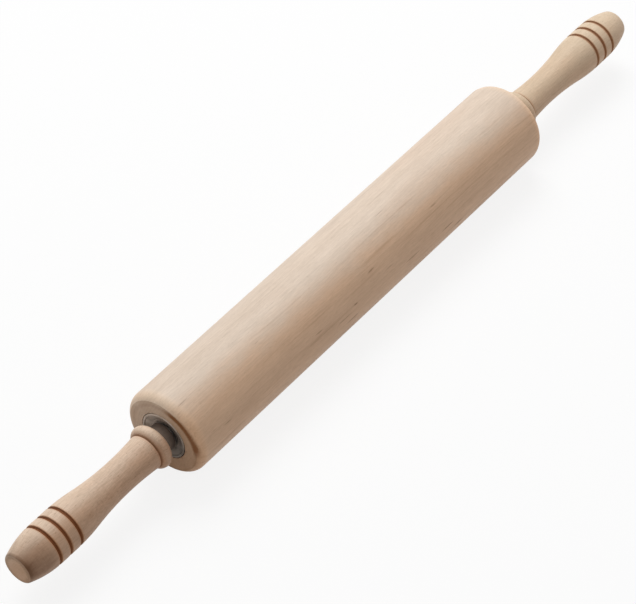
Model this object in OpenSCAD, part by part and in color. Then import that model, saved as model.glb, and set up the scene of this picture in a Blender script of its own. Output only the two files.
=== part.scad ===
// Turned maple rolling pin: a free-spinning barrel on two ball bearings,
// a steel rod through it and a turned handle screwed to each end of the rod.
// X runs along the rod, Z is up, and the origin is the middle of the pin.

/* [Barrel] */
// Diameter of the rolling barrel
barrel_d = 63.5; // [56:0.5:90]
// Length of the barrel over its two flat end faces
barrel_l = 381; // [200:1:460]
// How far the rounded end edge reaches in across the end face
edge_drop = 3.6; // [1:0.1:5]
// How far the rounded end edge reaches along the barrel
edge_run = 6.5; // [2:0.5:12]
// How far round the end edge turns before it meets the end face
edge_turn = 65; // [50:1:90]
// Free space between the rod and the long bore through the barrel
bore_gap = 2.5; // [1.5:0.1:4]

/* [Rod] */
// Diameter of the steel rod
rod_d = 8; // [6:0.5:9]
// Length of rod that is screwed into each handle
rod_grip = 26; // [18:1:40]
// Chamfer at the rod's ends
rod_chamfer = 1; // [0.4:0.1:1.5]
// Width of the keyway that stops the lock washers turning
key_w = 2; // [1.5:0.1:3]
// Depth of the keyway
key_depth = 0.9; // [0.6:0.1:1.2]

/* [Ball bearings] */
// Diameter of one ball
ball_d = 4.762; // [4:0.001:5.2]
// Number of balls in each bearing
ball_count = 9; // [6:1:9]
// Radial play between a ball and its raceways
ball_play = 0.07; // [0.02:0.01:0.1]
// Thickness of the pressed steel cup
cup_wall = 1.4; // [1:0.1:1.8]
// Diameter of the cup over its rolled rim
rim_d = 35.2; // [34:0.1:42]
// Thickness of the rolled rim
rim_t = 2; // [1.6:0.1:2.4]
// How far the rolled rim stands proud of the end face
rim_proud = 0.3; // [0:0.1:0.8]
// Gap round the rim in the barrel's recess
rim_gap = 0.4; // [0.2:0.1:1]
// Slope of the cup's dish
dish_angle = 20; // [10:1:26]
// Wall of the bearing cone over the rod
cone_wall = 2.55; // [2:0.05:4]
// Thickness of the cone's flange over the balls
cone_flange = 0.95; // [0.6:0.05:2]
// Depth of the top of the cone's hub below the barrel's end face
hub_depth = 1.8; // [1:0.1:2.4]
// Thickness of the dust cap
cap_t = 0.7; // [0.5:0.1:1]
// Height of the skirt that holds the dust cap in the cup
cap_skirt = 1.6; // [1:0.1:2]
// Running gap between the parts of the bearing that pass each other
run_gap = 0.35; // [0.3:0.05:0.5]

/* [Lock nuts] */
// Thickness of the lock washer
washer_t = 1; // [0.6:0.1:1.6]
// Height of the lock nut
nut_h = 4; // [3:0.5:6]
// Width of the lock nut across its flats, in rod diameters
nut_ratio = 1.625; // [1.5:0.025:1.8]
// Free space round the lock nut in the handle
nut_gap = 0.4; // [0.2:0.1:0.6]

/* [Handle inserts] */
// Length of the threaded sleeve in the handle
insert_l = 28; // [22:1:42]
// Wall of the sleeve over the rod's thread
insert_wall = 1.5; // [1.2:0.1:2.5]
// Thickness of the sleeve's flange
flange_t = 1; // [0.8:0.1:2]
// Number of barbs that hold the sleeve in the wood
barb_count = 5; // [3:1:6]

/* [Handles] */
// Length of a handle from the insert's flange to its end disc
handle_l = 133.3; // [115:0.5:160]
// Thickness of the boss's wood round the space for the lock nut
boss_wall = 1.3; // [1:0.1:2]
// Wall of the steel ferrule on the boss
ferrule_t = 0.8; // [0.6:0.1:1.2]
// How far the boss and its ferrule reach back over the lock nut
collar_l = 4.8; // [3:0.1:5]
// Length of the boss from the insert's flange to the bead
boss_l = 3.4; // [2:0.1:6]
// Diameter of the bead
bead_d = 32.4; // [30:0.1:38]
// Width of the bead
bead_w = 8.8; // [7:0.1:10]
// Width of the crease between the bead and the grip
crease_w = 0.7; // [0.4:0.1:1.2]
// Diameter of the grip beside the bead
neck_d = 26; // [24.5:0.1:28]
// Diameter of the grip at its waist
waist_d = 23.2; // [20:0.1:24]
// Distance from the insert's flange to the waist
waist_at = 38.8; // [32:0.1:46]
// Diameter of the grip at its swell
swell_d = 31.3; // [29:0.1:36]
// Distance from the insert's flange to the start of the swell's straight stretch
swell_at = 93.5; // [86:0.1:98]
// Length of the swell's straight stretch
swell_l = 14; // [10:0.5:18]
// Share of the curve from waist to swell that is hollow
hollow_share = 0.62; // [0.4:0.01:0.75]
// Diameter of the nose where its end edge starts to round
nose_d = 22.4; // [18:0.1:26]
// Length of the nose's rounded end edge
nose_edge = 1; // [0.5:0.1:2.5]
// Number of burnt grooves
groove_count = 3; // [1:1:4]
// Distance from the insert's flange to the first groove
groove_at = 91; // [85:0.1:94]
// Distance from one groove to the next
groove_pitch = 9.65; // [6:0.05:10]
// Width of a groove
groove_w = 2.2; // [1:0.1:2.4]
// Depth of a groove
groove_depth = 1.2; // [0.5:0.1:1.5]

/* [Hidden] */
$fn = 96;

maple = [0.82, 0.70, 0.55];
handle_maple = [0.79, 0.66, 0.52];
zinc_steel = [0.50, 0.49, 0.48];
bright_steel = [0.72, 0.73, 0.75];
dark_steel = [0.32, 0.31, 0.30];
cage_brass = [0.78, 0.62, 0.32];

left = -1;
right = 1;

// Interference of the cup in the barrel, and of the sleeve and the ferrule on the handle
press = 0.02;
// Number of straight steps that stand for one small arc of an outline
arc_steps = 12;
// Number of straight steps that stand for the long curve from waist to swell
swell_steps = 24;

rod_r = rod_d / 2;
hub_r = rod_r + 3;
ball_r = ball_d / 2;
race_r = ball_r + ball_play;
pitch_r = rod_r + cone_wall + race_r;

// The cup, measured outwards along the rod from the barrel's end face
cup_in_r = pitch_r + race_r;
cup_out_r = cup_in_r + cup_wall;
cup_hole_r = pitch_r - race_r + 2 * run_gap;
rim_r = rim_d / 2;
rim_z = rim_proud - rim_t / 2;
dish_r = rim_r - rim_t;
dish_z = rim_z + 0.2;
bend_r = 0.3;
seat_w = 1;
seat_z = rim_z - rim_t / 2 - (rim_r - rim_t / 2 - cup_out_r - seat_w) * tan(dish_angle);

// The dust cap goes on with the slope of the dish, in to the cone's hub
cap_hole_r = hub_r + run_gap;
cap_height = cap_t / cos(dish_angle);
cap_low_z = dish_top(cap_hole_r) - cap_height;

// The cone's flange runs under the dust cap, and the balls under the flange
cone_face_z = cap_low_z - run_gap / cos(dish_angle);
ball_z = cone_face_z - cone_flange - race_r;
cup_floor_z = ball_z - race_r;
cup_back_z = cup_floor_z - cup_wall;
cone_nose_z = cup_back_z + run_gap;

// The stack on the rod, each piece resting on the one before it
hub_top_z = -hub_depth;
washer_top_z = hub_top_z + washer_t;
nut_top_z = washer_top_z + nut_h;
handle_z = nut_top_z + flange_t;
rod_end_z = handle_z + rod_grip;

washer_r = hub_r + 0.4;
nut_flats = rod_d * nut_ratio;
nut_corner_r = nut_flats / 2 / cos(30);
insert_r = rod_r + insert_wall;

// The ball retainer lies outside the balls, clear of both raceways
cage_in_r = pitch_r + 0.6 * ball_r;
cage_out_r = cup_in_r - run_gap;
cage_z = ball_z + 0.92 * ball_r;
cage_t = 0.8;
finger_gap = 2 * pitch_r * sin(180 / ball_count) - ball_d;
finger_w = min(finger_gap - 0.4, 1.6);

// The boss is bored out over the lock nut and carries the ferrule
nut_space_r = nut_corner_r + nut_gap;
boss_r = nut_space_r + boss_wall;
ferrule_r = boss_r + ferrule_t;

// The handle's stations, measured from the insert's flange
bead_r = bead_w / 2;
bead_at = boss_l + bead_r;
neck_at = bead_at + bead_r + crease_w;
nose_at = swell_at + swell_l;
swell_r = swell_d / 2;
waist_r = waist_d / 2;
neck_r = neck_d / 2;

// Radius of an arc that starts level and has climbed by rise after run
function arc_radius(run, rise) = (run * run + rise * rise) / (2 * rise);

// How far such an arc has climbed after x
function climb(x, radius) = radius - sqrt(radius * radius - x * x);

// Points of an arc about (x, y), from angle a to angle b
function arc(x, y, radius, a, b, steps = arc_steps) =
    [for (i = [0 : steps]) let (t = a + (b - a) * i / steps) [x + radius * cos(t), y + radius * sin(t)]];

// Height of the dish's slope at a distance r from the rod's centre line
function dish_top(r) = dish_z - (dish_r - r) * tan(dish_angle);

// Centre height of a bend under the slope, at a distance x from the centre line
function bend_z(x) = dish_top(x - bend_r * sin(dish_angle)) - bend_r * cos(dish_angle);

neck_arc = arc_radius(waist_at - neck_at, neck_r - waist_r);
swell_arcs = arc_radius(swell_at - waist_at, swell_r - waist_r);
hollow_arc = swell_arcs * hollow_share;
round_arc = swell_arcs - hollow_arc;
swell_turn = waist_at + (swell_at - waist_at) * hollow_share;

// The nose's end edge is an arc that starts in line with the nose and ends flat in the disc
nose_run = handle_l - nose_edge - nose_at;
nose_arc = arc_radius(nose_run, swell_r - nose_d / 2);
nose_angle = asin(nose_run / nose_arc);
edge_arc = nose_edge / (1 - sin(nose_angle));
disc_r = nose_d / 2 - edge_arc * cos(nose_angle);

// Radius of the grip at a distance x from the insert's flange
function grip_r(x) =
    x < waist_at ? waist_r + climb(waist_at - x, neck_arc)
    : x < swell_turn ? waist_r + climb(x - waist_at, hollow_arc)
    : x < swell_at ? swell_r - climb(swell_at - x, round_arc)
    : x < nose_at ? swell_r
    : swell_r - climb(x - nose_at, nose_arc);

// Puts a piece that is drawn outwards along Z on one end of the barrel
module at_end(side) {
    translate([side * barrel_l / 2, 0, 0])
        rotate([0, side * 90, 0])
            children();
}

// A ring with a square section between two radii and two heights
module ring(inner_r, outer_r, z0, z1) {
    rotate_extrude()
        translate([inner_r, z0])
            square([outer_r - inner_r, z1 - z0]);
}

// Half of the barrel's outline: the rolling face and one rounded end edge
function barrel_edge() = [
    for (i = [0 : arc_steps])
        let (t = edge_turn * i / arc_steps)
            [
                barrel_d / 2 - edge_drop * (1 - cos(t)) / (1 - cos(edge_turn)),
                barrel_l / 2 - edge_run * (1 - sin(t) / sin(edge_turn))
            ]
];

module barrel() {
    edge = barrel_edge();
    mirrored_edge = [for (i = [arc_steps : -1 : 0]) [edge[i][0], -edge[i][1]]];
    color(maple)
        difference() {
            rotate([0, 90, 0])
                rotate_extrude()
                    polygon(concat([[0, -barrel_l / 2]], mirrored_edge, edge, [[0, barrel_l / 2]]));
            rotate([0, 90, 0])
                cylinder(h = barrel_l + 2, r = rod_r + bore_gap, center = true);
            for (side = [left, right])
                at_end(side)
                    barrel_recess();
        }
}

// The stepped recess for the cup: a wide step for its dish, a tight one for its body
module barrel_recess() {
    translate([0, 0, seat_z])
        cylinder(h = 1 - seat_z, r = rim_r + rim_gap);
    translate([0, 0, cup_back_z])
        cylinder(h = 1 - cup_back_z, r = cup_out_r - press);
}

module axle_rod() {
    end_x = barrel_l / 2 + rod_end_z;
    color(bright_steel)
        difference() {
            rotate([0, 90, 0])
                rotate_extrude()
                    polygon([
                        [0, -end_x],
                        [rod_r - rod_chamfer, -end_x],
                        [rod_r, rod_chamfer - end_x],
                        [rod_r, end_x - rod_chamfer],
                        [rod_r - rod_chamfer, end_x],
                        [0, end_x]
                    ]);
            for (side = [left, right])
                at_end(side)
                    translate([-key_w / 2, rod_r - key_depth, cone_nose_z])
                        cube([key_w, rod_d, rod_end_z - cone_nose_z + 1]);
        }
}

// Pressed steel cup: rolled rim, shallow dish, straight body and outer raceway
module bearing_cup(side) {
    mouth_x = cup_in_r + bend_r;
    color(zinc_steel)
        at_end(side)
            rotate_extrude()
                polygon(concat(
                    [[cup_hole_r, cup_back_z], [cup_out_r, cup_back_z]],
                    [[cup_out_r, seat_z], [cup_out_r + seat_w, seat_z]],
                    arc(rim_r - rim_t / 2, rim_z, rim_t / 2, -90, 170, 2 * arc_steps),
                    [[dish_r, dish_z]],
                    arc(mouth_x, bend_z(mouth_x), bend_r, 90 + dish_angle, 180, 4),
                    arc(pitch_r, ball_z, race_r, 0, -90),
                    [[cup_hole_r, cup_floor_z]]
                ));
}

module ball_set(side) {
    color(bright_steel)
        at_end(side)
            for (i = [0 : ball_count - 1])
                rotate([0, 0, 360 * i / ball_count])
                    translate([pitch_r, 0, ball_z])
                        sphere(d = ball_d);
}

// Brass ring outside the balls, with a finger between each ball and the next
module ball_retainer(side) {
    finger_in = pitch_r - 0.25 * ball_r;
    finger_out = cage_out_r - 0.15;
    finger_low = ball_z - 0.38 * ball_r;
    finger_top = ball_z + 0.7 * ball_r;
    color(cage_brass)
        at_end(side) {
            ring(cage_in_r, cage_out_r, cage_z, cage_z + cage_t);
            for (i = [0 : ball_count - 1])
                rotate([0, 0, 360 * (i + 0.5) / ball_count])
                    rotate([90, 0, 0])
                        linear_extrude(height = finger_w, center = true)
                            polygon([
                                [finger_in, finger_low],
                                [finger_out, finger_low],
                                [finger_out, cage_z + cage_t / 2],
                                [cage_in_r + 0.05, cage_z + cage_t / 2],
                                [cage_in_r + 0.05, finger_top],
                                [finger_in, finger_top]
                            ]);
        }
}

// Hardened cone on the rod: the inner raceway, a flange and a hub that carries the lock washer
module bearing_cone(side) {
    nose_r = pitch_r - race_r;
    color(bright_steel)
        at_end(side)
            rotate_extrude()
                polygon(concat(
                    [[rod_r, cone_nose_z], [nose_r, cone_nose_z]],
                    arc(pitch_r, ball_z, race_r, 180, 90),
                    [[pitch_r, cone_face_z], [hub_r, cone_face_z]],
                    [[hub_r, hub_top_z], [rod_r, hub_top_z]]
                ));
}

// Pressed cap that covers the balls: it follows the dish's slope and its skirt grips the cup
module dust_cap(side) {
    cap_r = cup_in_r + press;
    bend_x = cap_r - bend_r;
    skirt_z = bend_z(bend_x) - cap_skirt;
    color(zinc_steel)
        at_end(side)
            rotate_extrude()
                polygon(concat(
                    [[cap_hole_r, cap_low_z], [cap_r - cap_t, dish_top(cap_r - cap_t) - cap_height]],
                    [[cap_r - cap_t, skirt_z], [cap_r, skirt_z]],
                    arc(bend_x, bend_z(bend_x), bend_r, 0, 90 + dish_angle, 4),
                    [[cap_hole_r, dish_top(cap_hole_r)]]
                ));
}

// Keyed washer: its tab sits in the rod's keyway and keeps the nut from working loose
module lock_washer(side) {
    tab_gap = 0.1;
    color(dark_steel)
        at_end(side) {
            ring(rod_r, washer_r, hub_top_z, washer_top_z);
            translate([tab_gap - key_w / 2, rod_r - key_depth + tab_gap, hub_top_z])
                cube([key_w - 2 * tab_gap, key_depth + 0.5, washer_t]);
        }
}

module lock_nut(side) {
    bevel = nut_corner_r - nut_flats / 2;
    color(dark_steel)
        at_end(side)
            difference() {
                intersection() {
                    translate([0, 0, washer_top_z])
                        cylinder(h = nut_h, r = nut_corner_r, $fn = 6);
                    translate([0, 0, washer_top_z])
                        rotate_extrude()
                            polygon([
                                [0, 0],
                                [nut_corner_r - bevel, 0],
                                [nut_corner_r + 0.1, bevel * 0.6],
                                [nut_corner_r + 0.1, nut_h - bevel * 0.6],
                                [nut_corner_r - bevel, nut_h],
                                [0, nut_h]
                            ]);
                }
                translate([0, 0, washer_top_z - 1])
                    cylinder(h = nut_h + 2, r = rod_r);
            }
}

// Threaded brass sleeve with a flange against the lock nut and barbs in the wood
module handle_insert(side) {
    barb_pitch = insert_l / (barb_count + 0.5);
    barb_w = barb_pitch / 2;
    core_r = insert_r - 0.4;
    color(cage_brass)
        at_end(side) {
            ring(rod_r, hub_r + 0.2, nut_top_z, handle_z);
            ring(rod_r, core_r, handle_z - flange_t / 2, handle_z + insert_l);
            for (i = [0 : barb_count - 1])
                ring(
                    rod_r + insert_wall / 2,
                    insert_r,
                    handle_z + barb_pitch * (i + 0.5),
                    handle_z + barb_pitch * (i + 0.5) + barb_w
                );
        }
}

// Half of the grip's outline, from the crease beside the bead to the end disc
function grip_outline() = concat(
    [for (i = [0 : arc_steps]) let (x = neck_at + (waist_at - neck_at) * i / arc_steps) [grip_r(x), x]],
    [for (i = [1 : swell_steps]) let (x = waist_at + (swell_at - waist_at) * i / swell_steps) [grip_r(x), x]],
    [for (i = [0 : arc_steps]) let (x = nose_at + nose_run * i / arc_steps) [grip_r(x), x]],
    arc(disc_r, handle_l - edge_arc, edge_arc, nose_angle, 90)
);

module handle(side) {
    bore_end = insert_l + 4;
    color(handle_maple)
        at_end(side)
            translate([0, 0, handle_z])
                difference() {
                    union() {
                        translate([0, 0, -collar_l])
                            cylinder(h = bead_at + collar_l, r = boss_r + press);
                        rotate_extrude()
                            polygon(concat([[0, neck_at]], grip_outline(), [[0, handle_l]]));
                        translate([0, 0, bead_at])
                            cylinder(h = neck_at - bead_at + 1, r = neck_r - crease_w);
                        translate([0, 0, bead_at])
                            bead();
                    }
                    for (i = [0 : groove_count - 1])
                        groove(groove_at + i * groove_pitch);
                    translate([0, 0, -1])
                        cylinder(h = bore_end + 1, r = insert_r - press);
                    translate([0, 0, -collar_l - 1])
                        cylinder(h = collar_l + 1, r = nut_space_r);
                }
}

// Steel sleeve pressed on the boss: it keeps the thin wood round the lock nut from splitting
module handle_ferrule(side) {
    edge = ferrule_t / 3;
    color(dark_steel)
        at_end(side)
            translate([0, 0, handle_z])
                rotate_extrude()
                    polygon([
                        [boss_r, -collar_l],
                        [ferrule_r - edge, -collar_l],
                        [ferrule_r, edge - collar_l],
                        [ferrule_r, boss_l],
                        [boss_r, boss_l]
                    ]);
}

// The bead has a half-round section on the boss
module bead() {
    rotate_extrude()
        polygon(concat(
            [[0, -bead_r]],
            arc(bead_d / 2 - bead_r, 0, bead_r, -90, 90, 2 * arc_steps),
            [[0, bead_r]]
        ));
}

module groove(x) {
    ring(grip_r(x) - groove_depth, swell_d, x - groove_w / 2, x + groove_w / 2);
}

barrel();
axle_rod();
bearing_cup(left);  // left_bearing_cup
ball_set(left);  // left_ball_set
ball_retainer(left);  // left_ball_retainer
bearing_cone(left);  // left_bearing_cone
dust_cap(left);  // left_dust_cap
lock_washer(left);  // left_lock_washer
lock_nut(left);  // left_lock_nut
handle_insert(left);  // left_handle_insert
handle(left);  // left_handle
handle_ferrule(left);  // left_handle_ferrule
bearing_cup(right);  // right_bearing_cup
ball_set(right);  // right_ball_set
ball_retainer(right);  // right_ball_retainer
bearing_cone(right);  // right_bearing_cone
dust_cap(right);  // right_dust_cap
lock_washer(right);  // right_lock_washer
lock_nut(right);  // right_lock_nut
handle_insert(right);  // right_handle_insert
handle(right);  // right_handle
handle_ferrule(right);  // right_handle_ferrule
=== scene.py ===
import math

import bmesh
import bpy
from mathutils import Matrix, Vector


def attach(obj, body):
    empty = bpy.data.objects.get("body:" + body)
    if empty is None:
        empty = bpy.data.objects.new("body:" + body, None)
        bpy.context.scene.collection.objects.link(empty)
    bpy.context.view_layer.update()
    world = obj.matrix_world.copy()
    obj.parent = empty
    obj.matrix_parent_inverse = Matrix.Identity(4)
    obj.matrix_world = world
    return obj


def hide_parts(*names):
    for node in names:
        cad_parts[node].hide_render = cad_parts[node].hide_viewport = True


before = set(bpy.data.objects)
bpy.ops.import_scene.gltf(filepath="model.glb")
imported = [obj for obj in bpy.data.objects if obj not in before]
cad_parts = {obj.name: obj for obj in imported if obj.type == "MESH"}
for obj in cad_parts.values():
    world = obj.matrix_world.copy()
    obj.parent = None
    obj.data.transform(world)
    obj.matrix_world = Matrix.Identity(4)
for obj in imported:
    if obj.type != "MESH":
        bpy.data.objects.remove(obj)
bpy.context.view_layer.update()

# ---- Table, daylight and camera ----
# The pin lies on a matt white table under one large soft lamp, behind its right end.
# Seen directly the table is nearly white, so that only the pin's soft shadow shows on it.


class Field:
    """One socket of a node tree. Sums written with it add the nodes that work them out."""

    def __init__(self, tree, socket=None):
        self.tree = tree
        self.socket = socket

    def node(self, kind, settings=None, inputs=None, out=0):
        """Adds a node: first its settings, then the values or links of its sockets."""
        made = self.tree.nodes.new(kind)
        for name, value in (settings or {}).items():
            setattr(made, name, value)
        for key, value in (inputs or {}).items():
            if isinstance(value, Field):
                self.tree.links.new(value.socket, made.inputs[key])
            else:
                made.inputs[key].default_value = value
        return Field(self.tree, made.outputs[out] if len(made.outputs) else None)

    def also(self, key):
        """Another output of the node that this field comes from."""
        return Field(self.tree, self.socket.node.outputs[key])

    def sum(self, operation, *values):
        return self.node("ShaderNodeMath", {"operation": operation}, dict(enumerate(values)))

    def __add__(self, other):
        return self.sum("ADD", self, other)

    def __radd__(self, other):
        return self.sum("ADD", other, self)

    def __sub__(self, other):
        return self.sum("SUBTRACT", self, other)

    def __rsub__(self, other):
        return self.sum("SUBTRACT", other, self)

    def __mul__(self, other):
        return self.sum("MULTIPLY", self, other)

    def __rmul__(self, other):
        return self.sum("MULTIPLY", other, self)

    def __truediv__(self, other):
        return self.sum("DIVIDE", self, other)

    def __pow__(self, other):
        return self.sum("POWER", self, other)

    def __abs__(self):
        return self.sum("ABSOLUTE", self)

    def most(self, other):
        return self.sum("MAXIMUM", self, other)

    def least(self, other):
        return self.sum("MINIMUM", self, other)

    def rise(self, low, high):
        """0 below low, 1 above high, and smooth between them. It falls where low is above high."""
        start, stop = (0, 1) if low < high else (1, 0)
        return self.node(
            "ShaderNodeMapRange",
            {"interpolation_type": "SMOOTHSTEP"},
            {0: self, 1: min(low, high), 2: max(low, high), 3: start, 4: stop},
        )

    def blended(self, other, share):
        """This colour with a share of another one mixed in."""
        return self.node("ShaderNodeMix", {"data_type": "RGBA"}, {0: share, 6: self, 7: other}, 2)


def seen_directly(pen):
    """1 for rays that show the table or the sky itself, 0 for those that only light the pin."""
    path = pen.node("ShaderNodeLightPath")
    return path.most(path.also("Is Glossy Ray")).most(path.also("Is Transmission Ray"))


def shown_by(pen, kind, shader):
    """Makes a shader the one that the tree's output shows."""
    end = next(node for node in pen.tree.nodes if node.bl_idname == kind)
    pen.tree.links.new(shader.socket, end.inputs["Surface"])


barrel_radius = 31.75
table_edge = 4.0
table_mesh = bpy.data.meshes.new("table")
table_mesh.from_pydata(
    [(x * table_edge, y * table_edge, -barrel_radius / 1000) for x, y in ((-1, -1), (1, -1), (1, 1), (-1, 1))],
    [],
    [(0, 1, 2, 3)],
)
table = bpy.data.objects.new("table", table_mesh)
bpy.context.scene.collection.objects.link(table)

table_white = bpy.data.materials.new("table_white")
table_white.use_nodes = True
pen = Field(table_white.node_tree)
seen = seen_directly(pen)
matt = pen.node("ShaderNodeBsdfDiffuse", inputs={"Color": pen.node(
    "ShaderNodeMix", {"data_type": "RGBA"}, {0: seen, 6: (0.8, 0.8, 0.8, 1), 7: (1, 1, 1, 1)}, 2)})
plain = pen.node("ShaderNodeEmission", inputs={"Color": (1, 1, 1, 1), "Strength": 1.0})
shown_by(pen, "ShaderNodeOutputMaterial", pen.node(
    "ShaderNodeMixShader", inputs={0: seen * 0.85, 1: matt, 2: plain}))
table_mesh.materials.append(table_white)

sky = bpy.data.worlds.new("sky")
sky.use_nodes = True
bpy.context.scene.world = sky
pen = Field(sky.node_tree)
dim = pen.node("ShaderNodeBackground", inputs={"Color": (1, 1, 1, 1), "Strength": 0.36})
white = pen.node("ShaderNodeBackground", inputs={"Color": (1, 1, 1, 1), "Strength": 1.0})
shown_by(pen, "ShaderNodeOutputWorld", pen.node(
    "ShaderNodeMixShader", inputs={0: seen_directly(pen), 1: dim, 2: white}))

lamp_light = bpy.data.lights.new("soft_lamp", "AREA")
lamp_light.energy = 33.0
lamp_light.size = 1.45
lamp = bpy.data.objects.new("soft_lamp", lamp_light)
lamp.location = Vector((0.35, 0.40, 0.85)).normalized() * 2.2
lamp.rotation_euler = lamp.location.to_track_quat("Z", "Y").to_euler()
bpy.context.scene.collection.objects.link(lamp)

azimuth, elevation, distance = math.radians(-51.8), math.radians(46.4), 1.76
backwards = Vector((
    math.sin(azimuth) * math.cos(elevation),
    -math.cos(azimuth) * math.cos(elevation),
    math.sin(elevation),
))
aim = backwards.to_track_quat("Z", "Y")
lens = bpy.data.cameras.new("camera")
lens.lens = 146
lens.sensor_width = 36
camera = bpy.data.objects.new("camera", lens)
camera.location = backwards * distance + aim @ Vector((-0.0185, -0.0224, 0))
camera.rotation_euler = aim.to_euler()
bpy.context.scene.collection.objects.link(camera)
bpy.context.scene.camera = camera
bpy.context.scene.view_settings.view_transform = "Standard"

# ---- Barrel ----
# One piece of hard maple, turned and sanded, with softly rounded end edges and a long
# bore for the rod. Each flat end face has a stepped recess that takes a bearing cup.


def shape_tree(name, **sizes):
    """A new geometry tree with an input for each size, and the field of its inputs."""
    tree = bpy.data.node_groups.new(name, "GeometryNodeTree")
    tree.interface.new_socket("Geometry", in_out="OUTPUT", socket_type="NodeSocketGeometry")
    tree.interface.new_socket("Geometry", in_out="INPUT", socket_type="NodeSocketGeometry")
    for label, kind in sizes.items():
        tree.interface.new_socket(label, in_out="INPUT", socket_type="NodeSocket" + kind)
    return Field(tree).node("NodeGroupInput")


def finished_tree(shape, sharp):
    """Ends a tree: shades it, with edges past the angle sharp kept crisp, and gives it its finish."""
    given = shape.tree.nodes["Group Input"]
    angle = shape.node("GeometryNodeInputMeshEdgeAngle")
    shape = shape.node("GeometryNodeSetShadeSmooth", {"domain": "FACE"}, {0: shape, 2: True})
    shape = shape.node(
        "GeometryNodeSetShadeSmooth", {"domain": "EDGE"},
        {0: shape, 1: angle.sum("GREATER_THAN", angle, math.radians(sharp)), 2: False},
    )
    shape = shape.node("GeometryNodeRealizeInstances", inputs={0: shape})
    shape = shape.node(
        "GeometryNodeSetMaterial",
        inputs={0: shape, "Material": Field(shape.tree, given.outputs["Finish"])},
    )
    shape.node("NodeGroupOutput", inputs={0: shape})
    return shape.tree


def groove_distance(along, count, first, pitch):
    """Distance to the nearest of some even grooves, from the distance along the pin."""
    nearest = ((along - first) / pitch + 0.5).sum("FLOOR", (along - first) / pitch + 0.5)
    nearest = nearest.most(0).least(count - 1)
    return abs(along - first - nearest * pitch)


def turning_tree():
    """Turns an outline about the rod's centre line as a lathe does, and cuts its grooves."""
    given = shape_tree(
        "turned_piece", Sides="Int", Grooves="Int", First_groove="Float", Groove_pitch="Float",
        Groove_width="Float", Groove_depth="Float", Finish="Material",
    )
    outline = given.also("Geometry")
    across = given.also("Sides") + 1
    points = given.node("GeometryNodeAttributeDomainSize", {"component": "MESH"}, {0: outline})
    sheet = given.node("GeometryNodeMeshGrid", inputs={0: 1.0, 1: 1.0, 2: points, 3: across})
    index = given.node("GeometryNodeInputIndex")
    station = ((index + 0.5) / across).sum("FLOOR", (index + 0.5) / across)
    turn = (index - station * across) / given.also("Sides") * math.tau
    point = given.node(
        "GeometryNodeSampleIndex", {"data_type": "FLOAT_VECTOR", "domain": "POINT"},
        {"Geometry": outline, "Value": given.node("GeometryNodeInputPosition"), "Index": station},
    )
    along = given.node("ShaderNodeSeparateXYZ", inputs={0: point})
    radius = along.also("Y")
    off = groove_distance(
        abs(along), given.also("Grooves"), given.also("First_groove"), given.also("Groove_pitch"))
    off = off / given.also("Groove_width")
    radius = radius - given.also("Groove_depth") * off.rise(0.57, 0.39)
    place = given.node("ShaderNodeCombineXYZ", inputs={
        0: along, 1: radius * turn.sum("COSINE", turn), 2: radius * turn.sum("SINE", turn)})
    shape = given.node("GeometryNodeSetPosition", inputs={0: sheet, 2: place})
    shape = given.node("GeometryNodeMergeByDistance", inputs={"Geometry": shape, "Distance": 1e-6})
    return finished_tree(shape, 32)


def made_piece(name, tree, outline, sizes, body, nodes):
    """Runs a tree on an outline in mm, keeps the result as a plain mesh and fixes it to its body."""
    mesh = bpy.data.meshes.new(name + "_outline")
    chain = [(i, i + 1) for i in range(len(outline) - 1)]
    mesh.from_pydata([(x / 1000, r / 1000, 0) for x, r in outline], chain, [])
    blank = bpy.data.objects.new(name + "_outline", mesh)
    bpy.context.scene.collection.objects.link(blank)
    modifier = blank.modifiers.new("shape", "NODES")
    modifier.node_group = tree
    for item in tree.interface.items_tree:
        if item.in_out == "INPUT" and item.name in sizes:
            modifier[item.identifier] = sizes[item.name]
    ready = bpy.context.evaluated_depsgraph_get()
    shape = bpy.data.meshes.new_from_object(blank.evaluated_get(ready), depsgraph=ready)
    bpy.data.objects.remove(blank)
    bpy.data.meshes.remove(mesh)
    work = bmesh.new()
    work.from_mesh(shape)
    bmesh.ops.recalc_face_normals(work, faces=work.faces)
    work.to_mesh(shape)
    work.free()
    shape.name = name
    piece = bpy.data.objects.new(name, shape)
    bpy.context.scene.collection.objects.link(piece)
    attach(piece, body)
    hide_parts(*nodes)
    return piece


def arc(x, r, radius, start, stop, steps):
    """Points of an arc about (x, r). An angle of 0 points away from the rod, 90 along it."""
    turns = [math.radians(start + (stop - start) * i / steps) for i in range(steps + 1)]
    return [(x + radius * math.sin(t), r + radius * math.cos(t)) for t in turns]


def grain(pen, place, size, stretch, detail):
    """Noise with spots of one size in mm, drawn out along the pin."""
    drawn = pen.node("ShaderNodeVectorMath", {"operation": "MULTIPLY"}, {
        0: place, 1: (1 / size / stretch, 1 / size, 1 / size)})
    return pen.node("ShaderNodeTexNoise", inputs={0: drawn, 2: 1.0, 3: detail, 4: 0.55})


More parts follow.
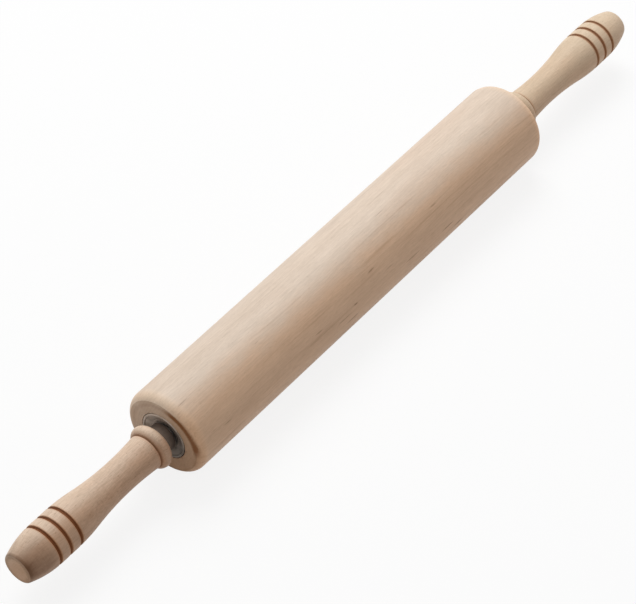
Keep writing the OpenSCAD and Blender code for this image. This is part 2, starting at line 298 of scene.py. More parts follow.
def maple(name, sap, heart, pith, lean, rings, heart_from, heart_to, seed, pored, marks=(), local=None):
    """Bare maple. The year rings lie about the pith, which runs beside the piece in mm.

    The wood is brown like the heart within heart_from of the pith and pale like the sap
    past heart_to. pored is the strength of its mottle and short dark pores, and marks are
    (x, y, z, length, width, strength) of single dark flecks. local changes the colour,
    roughness and height in places: burnt grooves, dark bands, and painted light and shade.
    """
    material = bpy.data.materials.new(name)
    material.use_nodes = True
    shader = material.node_tree.nodes["Principled BSDF"]
    pen = Field(material.node_tree)
    spot = pen.node("ShaderNodeTexCoord", out=3)
    place = pen.node("ShaderNodeVectorMath", {"operation": "SCALE"}, {0: spot, 3: 1000.0})
    moved = pen.node("ShaderNodeVectorMath", {"operation": "ADD"}, {0: place, 1: seed})
    x = pen.node("ShaderNodeSeparateXYZ", inputs={0: place})
    y, z = x.also("Y"), x.also("Z")
    facing = abs(pen.node("ShaderNodeSeparateXYZ", inputs={0: spot.also("Normal")}))
    end_grain = facing.rise(0.90, 0.985)

    sway = grain(pen, moved, 34, 5, 1.0) - 0.5
    ripple = grain(pen, moved, 6, 5, 1.0) - 0.5
    off_y = y + x * lean[0] - pith[0]
    off_z = z + x * lean[1] - pith[1]
    depth = (off_y ** 2 + off_z ** 2) ** 0.5 + sway * 7 + ripple * 0.8
    year = depth / rings
    late = (year - year.sum("FLOOR", year)) ** 4
    good_year = pen.node("ShaderNodeTexWhiteNoise", {"noise_dimensions": "1D"}, {1: year.sum("FLOOR", year)})
    waved = pen.node("ShaderNodeVectorMath", {"operation": "ADD"}, {
        0: moved, 1: pen.node("ShaderNodeCombineXYZ", inputs={1: sway * 14, 2: ripple * 2})})
    fibre = grain(pen, waved, 1.0, 13, 3.0)
    fine = grain(pen, waved, 0.5, 9, 2.0)
    streak = grain(pen, waved, 2.4, 40, 1.0)
    mottle = grain(pen, moved, 9, 3, 2.0)
    blush = grain(pen, moved, 26, 4, 1.0)

    dashes = pen.node("ShaderNodeVectorMath", {"operation": "MULTIPLY"}, {0: waved, 1: (0.30, 1.4, 1.4)})
    dash = pen.node("ShaderNodeTexVoronoi", inputs={0: dashes, 2: 1.0, 8: 1.0})
    lot = pen.node("ShaderNodeSeparateColor", inputs={0: dash.also("Color")})
    dash = dash.rise(0.30, 0.12) * lot.rise(0.62, 0.95)

    # Heartwood is real colour, but where the pith is set below and in front of a piece, its brown heart side is also
    # painted shade.
    heart_and_shade = (depth + (mottle - 0.5) * 16).rise(heart_to, heart_from)
    colour = pen.node("ShaderNodeMix", {"data_type": "RGBA"}, {0: heart_and_shade, 6: sap, 7: heart}, 2)
    colour = colour.blended((0.70, 0.43, 0.27, 1), blush.rise(0.48, 0.78) * 0.16)
    colour = colour.blended((0.42, 0.23, 0.12, 1), streak.rise(0.56, 0.80) * (0.08 + heart_and_shade * 0.22))
    tone = 1.0 - late * 0.04 - (good_year - 0.5) * 0.04 - (fibre - 0.5) * (0.14 + pored * 0.4)
    tone = tone - (fine - 0.5) * (0.14 + pored * 0.6)
    tone = tone - (mottle - 0.5) * (0.05 + pored * 0.9) - dash * pored * 0.75
    warm_tone = pen.node("ShaderNodeCombineXYZ", inputs={0: tone, 1: tone * 1.12 - 0.12, 2: tone * 1.24 - 0.24})
    colour = pen.node("ShaderNodeVectorMath", {"operation": "MULTIPLY"}, {0: colour, 1: warm_tone})

    stain = None
    wobble = pen.node("ShaderNodeVectorMath", {"operation": "ADD"}, {
        0: place, 1: pen.node("ShaderNodeCombineXYZ", inputs={
            0: (fibre - 0.5) * 3, 1: (mottle - 0.5) * 2.0, 2: (fibre - 0.5) * 1.2})})
    for mark_x, mark_y, mark_z, length, width, strength in marks:
        away = pen.node("ShaderNodeVectorMath", {"operation": "SUBTRACT"}, {0: wobble, 1: (mark_x, mark_y, mark_z)})
        away = pen.node("ShaderNodeVectorMath", {"operation": "MULTIPLY"}, {
            0: away, 1: (2 / length, 2 / width, 2 / width)})
        away = pen.node("ShaderNodeVectorMath", {"operation": "LENGTH"}, {0: away}, 1)
        fleck = away.rise(1.15, 0.35) * strength
        stain = fleck if stain is None else stain.most(fleck)
    if stain is not None:
        colour = colour.blended((0.22, 0.10, 0.045, 1), stain * (1.0 - end_grain))

    pores = pen.node("ShaderNodeTexVoronoi", inputs={0: moved, 2: 2.2, 8: 1.0}).rise(0.42, 0.1)
    open_end = colour.blended((0.48, 0.30, 0.175, 1), 0.42 + late * 0.10 + pores * 0.18 + (mottle - 0.5) * 0.4)
    colour = colour.blended(open_end, end_grain)
    rough = 0.50 + (fibre - 0.5) * 0.20 + end_grain * 0.16
    height = (fibre * 0.5 + fine * 0.3 - dash * 0.35 - late * 0.3) * (1.0 - end_grain * 0.6) - pores * end_grain
    if local is not None:
        colour, rough, height = local(pen, x, colour, rough, height, fibre, mottle, heart_and_shade)
    bump = pen.node("ShaderNodeBump", inputs={"Strength": 0.35, "Distance": 0.00006, "Height": height})
    for field, socket in ((colour, "Base Color"), (rough, "Roughness"), (bump, "Normal")):
        pen.tree.links.new(field.socket, shader.inputs[socket])
    shader.inputs["Specular IOR Level"].default_value = 0.2
    return material


barrel_half = 190.5
edge_drop, edge_run, edge_turn = 3.6, 6.5, 65.0
recess_radius, recess_depth = 18.0, 2.70
socket_radius, socket_depth = 12.83, 11.87
rod_bore = 6.5

barrel_end = [
    (barrel_half - socket_depth, rod_bore),
    (barrel_half - socket_depth, socket_radius),
    (barrel_half - recess_depth, socket_radius),
    (barrel_half - recess_depth, recess_radius),
    (barrel_half - 0.3, recess_radius),
    (barrel_half, recess_radius + 0.3),
    (barrel_half, 23.0),
    (barrel_half, barrel_radius - edge_drop - 0.35),
    (barrel_half - 0.06, barrel_radius - edge_drop - 0.08),
]
for i in range(18, -1, -1):
    t = math.radians(edge_turn * i / 18)
    barrel_end.append((
        barrel_half - 0.16 - (edge_run - 0.16) * (1 - math.sin(t) / math.sin(math.radians(edge_turn))),
        barrel_radius - edge_drop * (1 - math.cos(t)) / (1 - math.cos(math.radians(edge_turn))),
    ))
barrel_length = [(x, barrel_radius) for x in range(-176, 177, 8)]
barrel_outline = (
    [(-x, r) for x, r in barrel_end] + barrel_length + barrel_end[::-1]
    + [(x, rod_bore) for x in (120, 60, 0, -60, -120)] + [(-barrel_end[0][0], rod_bore)]
)

# Single flecks of the blank: place along it, angle towards the back, length, width, strength
barrel_flecks = [
    (-4.9, -22.6, 9, 1.0, 0.55), (-162, -42.4, 10, 1.0, 0.52), (-27.5, -43.9, 5, 1.3, 0.66),
    (-66.5, -37.4, 10, 1.0, 0.44), (32, 23, 12, 0.8, 0.34), (35, -52, 17, 1.4, 0.48),
    (75.5, -55.6, 17, 1.3, 0.56), (89, -67, 12, 2.0, 0.56), (-32, -61, 14, 1.5, 0.48),
    (-41, -50.5, 16, 1.1, 0.44), (-175, -37.6, 9, 0.9, 0.34), (69, -15.4, 8, 1.2, 0.34),
    (-111, 6.5, 5, 0.9, 0.24), (-181.5, 13.4, 12, 0.7, 0.40), (11, -37.6, 12, 1.0, 0.28),
    (120, 130, 9, 1.0, 0.50), (-90, 165, 6, 1.0, 0.56), (20, 205, 11, 0.9, 0.44),
    (-140, 250, 8, 1.0, 0.50), (60, 95, 7, 0.9, 0.40), (150, 285, 9, 1.0, 0.48),
]


def barrel_marks():
    """The flecks as places on the rolling face. Angle 0 is up and towards the front."""
    for x, angle, length, width, strength in barrel_flecks:
        t = math.radians(angle - 30.5)
        yield x, barrel_radius * math.sin(t), barrel_radius * math.cos(t), length, width, strength


def from_rod(pen):
    """The place across the rod in mm, and the distance from its centre line."""
    place = pen.node("ShaderNodeVectorMath", {"operation": "MULTIPLY"}, {
        0: pen.node("ShaderNodeTexCoord", out=3), 1: (0, 1000, 1000)})
    return place, pen.node("ShaderNodeVectorMath", {"operation": "LENGTH"}, {0: place}, 1)


streak_radius = 26.4
streak_side, shadow_foot = (0, -0.743, 0.669), (0, -0.669, -0.743)


def end_band_and_painted_light(pen, x, colour, rough, height, fibre, mottle, _heart_and_shade):
    """Paints the rounded end edges warmer and lighter as painted light, draws a brown band along the front of the
    left end's arris, and paints a shadow below the cup on the left end face.
    """
    place, out = from_rod(pen)
    side = pen.node("ShaderNodeVectorMath", {"operation": "DOT_PRODUCT"}, {0: place, 1: streak_side}, 1)
    lower = pen.node("ShaderNodeVectorMath", {"operation": "DOT_PRODUCT"}, {0: place, 1: shadow_foot}, 1)
    # Painted light: the rounded edges at both ends are painted warmer and lighter, against the shade that falls on
    # them.
    painted_light = abs(x).rise(barrel_half - 9.5, barrel_half - 1.5) * out.rise(27.4, 28.8)
    warmed = pen.node("ShaderNodeVectorMath", {"operation": "MULTIPLY"}, {0: colour, 1: (1.14, 1.08, 1.0)})
    colour = colour.blended(warmed, painted_light)
    # A brown band along the front of the left end's arris.
    off = abs(out - streak_radius - lower * 0.075 + (fibre - 0.5) * 1.2)
    band = off.rise(3.4, 1.2) * (side / out).rise(0.62, 0.93) * 0.88 + off.rise(2.2, 0.4) * 0.18
    # Painted shadow: the lower front of the left end face, below the cup, is painted brown where the handle's bead
    # casts its shadow.
    band = (band + lower.rise(6, 27) * 0.26) * x.rise(6.5 - barrel_half, 2.5 - barrel_half) * (0.60 + mottle * 0.8)
    return colour.blended((0.26, 0.105, 0.035, 1), band), rough, height


# The pith lies below and in front of the barrel, so its brown heart side faces the shade: real heartwood colour that
# is also painted shade.
barrel_maple = maple(
    "barrel_maple",
    sap=(0.800, 0.655, 0.530, 1), heart=(0.715, 0.475, 0.315, 1),
    pith=(-100, -30), lean=(0.008, 0.004), rings=2.1, heart_from=90, heart_to=117,
    seed=(412, 37, 91), pored=0.14, marks=barrel_marks(), local=end_band_and_painted_light,
)
turning = turning_tree()
made_piece(
    "barrel_turned", turning, barrel_outline,
    {"Sides": 192, "Grooves": 1, "First_groove": 1.0, "Groove_pitch": 1.0, "Groove_width": 0.001,
     "Groove_depth": 0.0, "Finish": barrel_maple},
    "barrel", ["barrel"],
)


def turned_pair(name, outline, sides, finishes, body, node, grooves=(1, 1000, 1000, 1, 0)):
    """One turned piece at each end of the barrel, from an outline in mm out from its end face."""
    count, first, pitch, width, depth = grooves
    for side, end, finish in ((-1, "left", finishes[0]), (1, "right", finishes[-1])):
        made_piece(
            end + name, turning, [(side * (barrel_half + x), r) for x, r in outline],
            {"Sides": sides, "Grooves": count, "First_groove": (barrel_half + first) / 1000,
             "Groove_pitch": pitch / 1000, "Groove_width": width / 1000,
             "Groove_depth": depth / 1000, "Finish": finish},
            body.replace("end", end), [end + node],
        )


# ---- Bearing cups ----
# A dull grey cup pressed from sheet steel in each end face: a rolled rim, a shallow dish
# and a deep middle whose floor curves up into the race of the balls.

dish_slope = math.tan(math.radians(20))


def dish_at(r):
    """Height of the dish's slope at a radius, out from the barrel's end face."""
    return -0.5 - (15.6 - r) * dish_slope


def bend_at(r):
    """Height of the middle of a small bend that turns down from the slope."""
    return dish_at(r - 0.3 * math.sin(math.radians(20))) - 0.3 * math.cos(math.radians(20))


def metal(name, colour, stain, rough, marks, blotch=3.0, painted_light=0.0):
    """Plain metal with turning or pressing marks round the rod, and stains here and there.

    The last argument is how much lighter it is painted 16 mm out from the rod, up and towards the back, and darker
    down and in front: painted light and shade.
    """
    material = bpy.data.materials.new(name)
    material.use_nodes = True
    shader = material.node_tree.nodes["Principled BSDF"]
    pen = Field(material.node_tree)
    place = pen.node("ShaderNodeVectorMath", {"operation": "SCALE"}, {
        0: pen.node("ShaderNodeTexCoord", out=3), 3: 1000.0})
    x = pen.node("ShaderNodeSeparateXYZ", inputs={0: place})
    out = (x.also("Y") ** 2 + x.also("Z") ** 2) ** 0.5
    lines = pen.node("ShaderNodeTexNoise", {"noise_dimensions": "2D"}, {
        0: pen.node("ShaderNodeCombineXYZ", inputs={0: out, 1: x}), 2: 5.5, 3: 2.0, 4: 0.6})
    cloud = pen.node("ShaderNodeTexNoise", inputs={0: place, 2: 1 / blotch, 3: 4.0, 4: 0.6})
    speck = pen.node("ShaderNodeTexNoise", inputs={0: place, 2: 4.0, 3: 2.0, 4: 0.5})
    dull = (cloud.rise(0.42, 0.68) * 0.8 + speck.rise(0.6, 0.8) * 0.4).least(1)
    tone = 1.0 - (lines - 0.5) * marks
    # Painted light and shade: the metal is painted lighter up and towards the back and darker down and in front.
    if painted_light:
        tone = tone * (1.0 + (x.also("Y") * 0.669 + x.also("Z") * 0.743) * (painted_light / 16))
    base = pen.node("ShaderNodeMix", {"data_type": "RGBA"}, {0: dull, 6: colour, 7: stain}, 2)
    base = pen.node("ShaderNodeVectorMath", {"operation": "SCALE"}, {0: base, 3: tone})
    spread = rough + dull * 0.16 + (lines - 0.5) * 0.12
    bump = pen.node("ShaderNodeBump", inputs={
        "Strength": 0.3, "Distance": 0.00004, "Height": lines * marks + speck * 0.2})
    for field, socket in ((base, "Base Color"), (spread, "Roughness"), (bump, "Normal")):
        pen.tree.links.new(field.socket, shader.inputs[socket])
    shader.inputs["Metallic"].default_value = 1.0
    return material


race_out, race_at, race_radius = 9.001, -8.02, 2.451
cup_outline = (
    [(-11.87, 7.25), (-11.87, 12.45)] + arc(-11.47, 12.452, 0.4, -90, 0, 4)
    + [(-2.70, 12.852), (-2.70, 13.852)]
    + arc(-0.7, 16.6, 1.0, -90, 0, 12)[1:] + arc(-0.7, 16.6, 1.0, 0, 170, 18)[1:]
    + [(dish_at(15.3), 15.3), (dish_at(13.5), 13.5)]
    + arc(bend_at(11.752), 11.752, 0.3, 160, 270, 6)
    + arc(race_at, race_out, race_radius, 0, -90, 14)
    + [(-10.47, 7.25), (-11.87, 7.25)]
)
# The cup's finish carries painted light and shade: lighter on its upper back side, darker on its lower front.
cup_steel = metal(
    "cup_steel", (0.31, 0.255, 0.212, 1), (0.25, 0.200, 0.160, 1), 0.60, 0.40, blotch=9.0, painted_light=0.42)
turned_pair("_cup_pressed", cup_outline, 128, [cup_steel], "barrel", "_bearing_cup")

# ---- Dust caps ----
# A thin pressed shield over the balls. It carries on the slope of the cup's dish, and its
# skirt is pushed into the cup, so it turns with the barrel.

cap_bend = bend_at(11.172)
cap_outline = (
    [(dish_at(7.35) - 0.745, 7.35), (dish_at(10.5) - 0.745, 10.5)]
    + [(dish_at(10.772) - 0.95, 10.772), (cap_bend - 1.6, 10.772), (cap_bend - 1.6, 11.472)]
    + arc(cap_bend, 11.172, 0.3, 0, 110, 6)
    + [(dish_at(9.0), 9.0), (dish_at(7.45), 7.45), (dish_at(7.35) - 0.1, 7.35), (dish_at(7.35) - 0.745, 7.35)]
)
turned_pair("_cap_pressed", cap_outline, 112, [cup_steel], "barrel", "_dust_cap")

# ---- Balls ----
# Nine 3/16 in balls of polished steel roll between the cup and the cone.

ball_count, ball_radius = 9, 2.381


def ring_tree():
    """Sets balls on a circle about the rod, the first of them straight up or down."""
    given = shape_tree(
        "ball_ring", Balls="Int", Ball_radius="Float", Ring_radius="Float", Ring_at="Float",
        Upwards="Float", Finish="Material",
    )
    points = given.node("GeometryNodeMeshCircle", inputs={"Vertices": given.also("Balls"), "Radius": 1.0})
    turn = given.node("GeometryNodeInputIndex") / given.also("Balls") * math.tau
    place = given.node("ShaderNodeCombineXYZ", inputs={
        0: given.also("Ring_at"),
        1: turn.sum("SINE", turn) * given.also("Ring_radius"),
        2: turn.sum("COSINE", turn) * given.also("Ring_radius") * given.also("Upwards"),
    })
    points = given.node("GeometryNodeSetPosition", inputs={0: points, 2: place})
    ball = given.node("GeometryNodeMeshUVSphere", inputs={
        "Segments": 40, "Rings": 20, "Radius": given.also("Ball_radius")})
    return finished_tree(given.node("GeometryNodeInstanceOnPoints", inputs={"Points": points, "Instance": ball}), 80)


ball_ring = ring_tree()
ball_steel = metal("ball_steel", (0.72, 0.73, 0.75, 1), (0.58, 0.57, 0.55, 1), 0.08, 0.04, blotch=1.2)
for side, end in ((-1, "left"), (1, "right")):
    made_piece(
        end + "_ball_ring", ball_ring, [(0, 0), (1, 0)],
        {"Balls": ball_count, "Ball_radius": ball_radius / 1000, "Ring_radius": race_out / 1000,
         "Ring_at": side * (barrel_half + race_at) / 1000, "Upwards": -1.0 * side, "Finish": ball_steel},
        end + "_balls", [end + "_ball_set"],
    )

# ---- Ball retainers ----
# A brass ring outside the balls, pressed with nine fingers that keep them apart.


def retainer_tree():
    """A flat ring, and fingers set on a circle about the rod between the balls."""
    given = shape_tree(
        "ball_cage", Fingers="Int", Ring_inner="Float", Ring_outer="Float", Ring_from="Float",
        Ring_to="Float", Finger_inner="Float", Finger_outer="Float", Finger_from="Float",
        Finger_to="Float", Finger_width="Float", Upwards="Float", Finish="Material",
    )
    low, high = given.also("Ring_from"), given.also("Ring_to")
    inner, outer = given.also("Ring_inner"), given.also("Ring_outer")
    upright = (0, math.radians(90), 0)
    line = given.node("GeometryNodeCurvePrimitiveCircle", {"mode": "RADIUS"}, {
        "Resolution": 108, "Radius": (inner + outer) / 2})
    flat = given.node("GeometryNodeCurvePrimitiveQuadrilateral", {"mode": "RECTANGLE"}, {
        0: outer - inner, 1: abs(high - low)})
    flat = given.node("GeometryNodeFilletCurve", {"mode": "POLY"}, {"Curve": flat, "Radius": 0.00012, "Count": 2})
    band = given.node("GeometryNodeCurveToMesh", inputs={"Curve": line, "Profile Curve": flat})
    band = given.node("GeometryNodeTransform", inputs={
        "Geometry": band, "Rotation": upright,
        "Translation": given.node("ShaderNodeCombineXYZ", inputs={0: (low + high) / 2})})
    tall = given.also("Finger_to") - given.also("Finger_from")
    deep = given.also("Finger_outer") - given.also("Finger_inner")
    side_view = given.node("GeometryNodeCurvePrimitiveQuadrilateral", {"mode": "RECTANGLE"}, {
        0: abs(tall), 1: deep})
    side_view = given.node("GeometryNodeFilletCurve", {"mode": "POLY"}, {
        "Curve": side_view, "Radius": 0.0003, "Count": 4})
    finger = given.node("GeometryNodeFillCurve", {"mode": "NGONS"}, {0: side_view})
    finger = given.node("GeometryNodeExtrudeMesh", {"mode": "FACES"}, {
        "Mesh": finger, "Offset Scale": given.also("Finger_width")})
    back = given.node("GeometryNodeFillCurve", {"mode": "NGONS"}, {0: side_view})
    finger = given.node("GeometryNodeJoinGeometry", inputs={0: finger})
    given.tree.links.new(back.socket, finger.socket.node.inputs[0])
    finger = given.node("GeometryNodeMergeByDistance", inputs={"Geometry": finger, "Distance": 1e-6})
    finger = given.node("GeometryNodeTransform", inputs={
        "Geometry": finger,
        "Translation": given.node("ShaderNodeCombineXYZ", inputs={2: given.also("Finger_width") * -0.5})})
    finger = given.node("GeometryNodeTransform", inputs={"Geometry": finger, "Rotation": (math.radians(90), 0, 0)})
    turn = (given.node("GeometryNodeInputIndex") + 0.5) / given.also("Fingers") * math.tau
    middle = (given.also("Finger_outer") + given.also("Finger_inner")) / 2
    place = given.node("ShaderNodeCombineXYZ", inputs={
        0: (given.also("Finger_to") + given.also("Finger_from")) / 2,
        1: turn.sum("SINE", turn) * middle,
        2: turn.sum("COSINE", turn) * middle * given.also("Upwards"),
    })
    points = given.node("GeometryNodeMeshCircle", inputs={"Vertices": given.also("Fingers"), "Radius": 1.0})
    points = given.node("GeometryNodeSetPosition", inputs={0: points, 2: place})
    lay = given.node("ShaderNodeCombineXYZ", inputs={0: turn * given.also("Upwards") * -1})
    fingers = given.node("GeometryNodeInstanceOnPoints", inputs={
        "Points": points, "Instance": finger, "Rotation": lay})
    shape = given.node("GeometryNodeJoinGeometry", inputs={0: fingers})
    given.tree.links.new(band.socket, shape.socket.node.inputs[0])
    return finished_tree(given.node("GeometryNodeRealizeInstances", inputs={0: shape}), 40)


ball_cage = retainer_tree()
retainer_brass = metal("retainer_brass", (0.62, 0.44, 0.18, 1), (0.42, 0.27, 0.10, 1), 0.30, 0.10)
for side, end in ((-1, "left"), (1, "right")):
    at = side * barrel_half
    made_piece(
        end + "_ball_cage", ball_cage, [(0, 0), (1, 0)],
        {"Fingers": ball_count, "Ring_inner": 0.01043, "Ring_outer": 0.01110,
         "Ring_from": (at - side * 5.83) / 1000, "Ring_to": (at - side * 5.03) / 1000,
         "Finger_inner": 0.00841, "Finger_outer": 0.01095,
         "Finger_from": (at - side * 8.93) / 1000, "Finger_to": (at - side * 5.43) / 1000,
         "Finger_width": 0.000995, "Upwards": -1.0 * side, "Finish": retainer_brass},
        end + "_balls", [end + "_ball_retainer"],
    )

# ---- Bearing cones ----
# Hardened and turned from bar, and screwed on the rod: the inner race, a flange over the
# balls and a hub that comes up in the middle of the dust cap.

cone_outline = (
    [(-11.52, 4.0), (-11.52, 6.30), (-11.37, 6.50)]
    + arc(race_at, race_out, race_radius, -180, -90, 14)[1:-1]
    + [(-5.57, 9.0), (-4.72, 9.0), (-4.62, 8.9), (-4.62, 7.0), (-2.0, 7.0), (-1.8, 6.8), (-1.8, 4.0), (-11.52, 4.0)]
)
cone_steel = metal("cone_steel", (0.42, 0.425, 0.44, 1), (0.27, 0.26, 0.25, 1), 0.28, 0.22)
turned_pair("_cone_turned", cone_outline, 96, [cone_steel], "axle", "_bearing_cone")

# ---- Rod ----
# Drawn 8 mm steel bar that runs right through the barrel, with a keyway cut at each end.


def drawn_steel():
    """Drawn bar: bright, with fine lines along it and a thin brown film here and there."""
    material = bpy.data.materials.new("rod_steel")
    material.use_nodes = True
    shader = material.node_tree.nodes["Principled BSDF"]
    pen = Field(material.node_tree)
    place = pen.node("ShaderNodeVectorMath", {"operation": "SCALE"}, {
        0: pen.node("ShaderNodeTexCoord", out=3), 3: 1000.0})
    line = grain(pen, place, 0.12, 400, 2.0)
    film = grain(pen, place, 5, 4, 4.0).rise(0.5, 0.7)
    colour = pen.node("ShaderNodeMix", {"data_type": "RGBA"}, {
        0: film * 0.6, 6: (0.52, 0.53, 0.55, 1), 7: (0.33, 0.29, 0.25, 1)}, 2)
    colour = pen.node("ShaderNodeVectorMath", {"operation": "SCALE"}, {0: colour, 3: 0.88 + line * 0.24})
    bump = pen.node("ShaderNodeBump", inputs={"Strength": 0.25, "Distance": 0.00002, "Height": line})
    for field, socket in ((colour, "Base Color"), (0.24 + line * 0.12 + film * 0.15, "Roughness"), (bump, "Normal")):
        pen.tree.links.new(field.socket, shader.inputs[socket])
    shader.inputs["Metallic"].default_value = 1.0
    return material


def refinish(node, material):
    """Gives a piece that keeps its CAD shape a finish of its own."""
    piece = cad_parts[node]
    piece.data.materials.clear()
    piece.data.materials.append(material)


refinish("axle_rod", drawn_steel())

# ---- Lock washers and lock nuts ----
# A keyed washer and a plain hex nut of dark oiled steel hold each cone where it was set.

nut_steel = metal("nut_steel", (0.085, 0.080, 0.075, 1), (0.045, 0.040, 0.036, 1), 0.36, 0.2)
for end in ("left", "right"):
    refinish(end + "_lock_washer", nut_steel)
    refinish(end + "_lock_nut", nut_steel)

# ---- Handle inserts ----
# A threaded brass sleeve in each handle: its barbs hold in the wood, and its flange
# comes up against the lock nut.

insert_brass = metal("insert_brass", (0.66, 0.48, 0.21, 1), (0.46, 0.31, 0.13, 1), 0.26, 0.16)
for end in ("left", "right"):
    refinish(end + "_handle_insert", insert_brass)

# ---- Handles ----
# Turned maple: a boss over the lock nut, a bead, a hollow waist and a swell with three
# grooves burnt in by a wire. Each is screwed on the rod and glued on its insert.

flange_at = 4.2
neck_at, waist_at, swell_at, nose_at, handle_end = 12.9, 38.8, 93.5, 107.5, 133.3
neck_radius, waist_radius, swell_radius = 13.0, 11.6, 15.65
hollow_share, nose_radius, nose_edge = 0.62, 11.2, 1.0
groove_count, groove_at, groove_pitch, groove_width, groove_depth = 3, 91.0, 9.65, 2.2, 1.2
insert_depth, insert_radius = 32.0, 5.48
boss_end, boss_radius, nut_space = -4.8, 9.226, 7.906
bead_at, bead_centre, bead_size, crease_at = 7.8, 11.8, 4.4, 12.5


def level_arc(run, rise):
    """Radius of an arc that starts level and has climbed by rise after run."""
    return (run * run + rise * rise) / (2 * rise)


def climb(x, radius):
    return radius - math.sqrt(radius * radius - x * x)


neck_arc = level_arc(waist_at - neck_at, neck_radius - waist_radius)
swell_arcs = level_arc(swell_at - waist_at, swell_radius - waist_radius)
hollow_arc = swell_arcs * hollow_share
round_arc = swell_arcs - hollow_arc
swell_turn = waist_at + (swell_at - waist_at) * hollow_share
nose_run = handle_end - nose_edge - nose_at
nose_arc = level_arc(nose_run, swell_radius - nose_radius)
nose_angle = math.asin(nose_run / nose_arc)
edge_arc = nose_edge / (1 - math.sin(nose_angle))
disc_radius = nose_radius - edge_arc * math.cos(nose_angle)


def grip_radius(x):
    """Radius of the grip at a distance from the insert's flange."""
    if x < waist_at:
        return waist_radius + climb(waist_at - x, neck_arc)
    if x < swell_turn:
        return waist_radius + climb(x - waist_at, hollow_arc)
    if x < swell_at:
        return swell_radius - climb(swell_at - x, round_arc)
    return swell_radius - climb(max(0, x - nose_at), nose_arc)


grip_stations = [13.6 + 1.25 * i for i in range(61)]
grip_stations += [89.3 + 0.2 * i for i in range(113)]
nose_stop = handle_end - nose_edge
grip_stations += [112.5 + (nose_stop - 112.5) * i / 16 for i in range(17)]
handle_outline = (
    [(insert_depth, 0.0), (insert_depth, insert_radius), (0.0, insert_radius), (0.0, nut_space)]
    + [(boss_end + 0.2, nut_space), (boss_end, 8.1), (boss_end, 9.0), (boss_end + 0.2, boss_radius)]
    + [(3.15, boss_radius), (3.4, 9.4), (3.4, 10.4)]
    + arc(bead_at, bead_centre, bead_size, -90, 76, 30)
    + [(12.22, 12.25), (12.38, 11.85), (12.58, 11.80), (12.82, 12.15), (12.98, 12.62), (13.20, 12.86)]
    + [(x, grip_radius(x)) for x in grip_stations]
    + arc(handle_end - edge_arc, disc_radius, edge_arc, math.degrees(nose_angle), 90, 8)[1:]
    + [(handle_end, 6.0), (handle_end, 0.0)]
)


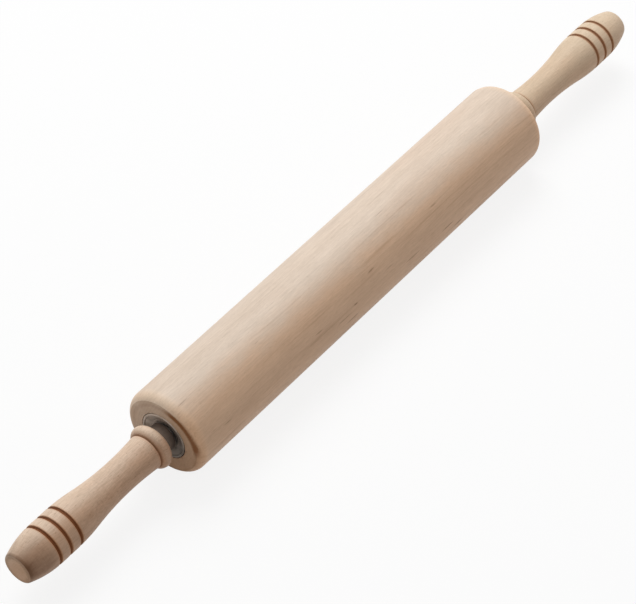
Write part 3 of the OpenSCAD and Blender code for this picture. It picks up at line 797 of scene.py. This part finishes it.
def burnt_grooves(pen, x, colour, rough, height, fibre, mottle, heart_and_shade):
    """Scorches the grooves, darkens the crease beside the bead with scorch and painted shade, and darkens the left
    handle's nose, most on its lower front.
    """
    along = abs(x) - (barrel_half + flange_at)
    turning_lines = pen.node("ShaderNodeTexNoise", {"noise_dimensions": "1D"}, {1: x, 2: 1.6, 3: 2.0, 4: 0.6})
    colour = pen.node("ShaderNodeVectorMath", {"operation": "SCALE"}, {
        0: colour, 3: 1.0 - (turning_lines - 0.5) * 0.22})
    near_end = x.rise(-200, -300)
    nose = along.rise(106, 124) * 0.8 + along.rise(126, 132) * 0.35
    nose = nose * along.rise(handle_end - 0.02, handle_end - 0.4) * near_end
    end_disc = along.rise(handle_end - 0.2, handle_end - 0.02)
    sanded = pen.node("ShaderNodeVectorMath", {"operation": "MULTIPLY"}, {0: colour, 1: (1.20, 1.20, 1.22)})
    colour = colour.blended(sanded, end_disc)
    _, out = from_rod(pen)
    # A darker band round the left handle's rounded end and the outer part of its end disc.
    dark_nose_rim = along.rise(handle_end - 2.5, handle_end - 1.0) * along.rise(handle_end - 0.03, handle_end - 0.3)
    dark_nose_rim = dark_nose_rim * near_end
    dark_nose_rim = dark_nose_rim.most(end_disc * (out + (fibre - 0.5) * 2.5).rise(6.6, 9.2) * near_end * 0.7)
    colour = colour.blended((0.160, 0.070, 0.030, 1), nose * (0.10 + heart_and_shade * 0.45 + (mottle - 0.5) * 1.1))
    colour = colour.blended((0.150, 0.070, 0.030, 1), dark_nose_rim * (0.46 + (mottle - 0.5) * 0.6))
    off = groove_distance(along, groove_count, groove_at, groove_pitch)
    off = off + (fibre - 0.5) * 0.3
    # The crease beside the bead is darkened partly as scorch and partly as painted shade, where shade falls in the
    # crease.
    crease = abs(along - crease_at)
    scorch = 0.62 + near_end * 0.38
    lip = (off.rise(2.4, 1.0) * 0.60).most(crease.rise(3.0, 0.5) * 0.45 * scorch)
    bead_tint = along.rise(7.5, 12.3) * along.rise(13.6, 12.6) * near_end * (0.35 + (mottle - 0.5) * 1.2)
    char_and_shade = (off.rise(1.35, 0.75) * (0.75 + mottle * 0.3)).most(crease.rise(1.0, 0.3) * 0.6) * scorch
    colour = colour.blended((0.300, 0.140, 0.055, 1), bead_tint.most(0))
    colour = colour.blended((0.46, 0.185, 0.060, 1), lip)
    colour = colour.blended((0.190, 0.055, 0.012, 1), char_and_shade)
    return colour, rough + char_and_shade * 0.4, height + turning_lines * 0.3


# Both handles have the pith below and in front, so their brown heart side, darkest on the left handle, is also
# painted shade.
left_maple = maple(
    "left_handle_maple",
    sap=(0.80, 0.610, 0.460, 1), heart=(0.53, 0.335, 0.220, 1),
    pith=(-46, -28), lean=(0.02, 0.02), rings=1.7, heart_from=44, heart_to=60,
    seed=(23, 311, 65), pored=0.50, local=burnt_grooves,
)
right_maple = maple(
    "right_handle_maple",
    sap=(0.76, 0.600, 0.435, 1), heart=(0.63, 0.430, 0.285, 1),
    pith=(-48, -30), lean=(-0.02, 0.03), rings=1.9, heart_from=46, heart_to=72,
    seed=(510, 77, 140), pored=0.24, local=burnt_grooves,
)
turned_pair(
    "_handle_turned", [(flange_at + x, r) for x, r in handle_outline], 160, [left_maple, right_maple],
    "axle", "_handle",
    (groove_count, flange_at + groove_at, groove_pitch, groove_width, groove_depth),
)

# ---- Handle ferrules ----
# A short sleeve of drawn steel, pressed on the boss up to the bead. It keeps the thin wood
# round the lock nut from splitting. Its dull, dark brownish colour is painted shade and a
# painted reflection of the shaded wood of the bead.

ferrule_bore, ferrule_radius = 9.206, 10.006
ferrule_outline = (
    [(boss_end, ferrule_bore)] + arc(boss_end + 0.3, ferrule_radius - 0.3, 0.3, -90, 0, 5)
    + [(boss_end + 0.8, ferrule_radius), (3.3, ferrule_radius), (3.4, 9.95)]
    + [(3.4, ferrule_bore), (boss_end, ferrule_bore)]
)
# Dark brownish base colour: painted shade and a painted reflection of the shaded bead.
ferrule_steel = metal("ferrule_steel", (0.155, 0.120, 0.098, 1), (0.125, 0.095, 0.078, 1), 0.56, 0.30, blotch=9.0)
turned_pair(
    "_ferrule_drawn", [(flange_at + x, r) for x, r in ferrule_outline], 128, [ferrule_steel],
    "axle", "_handle_ferrule",
)
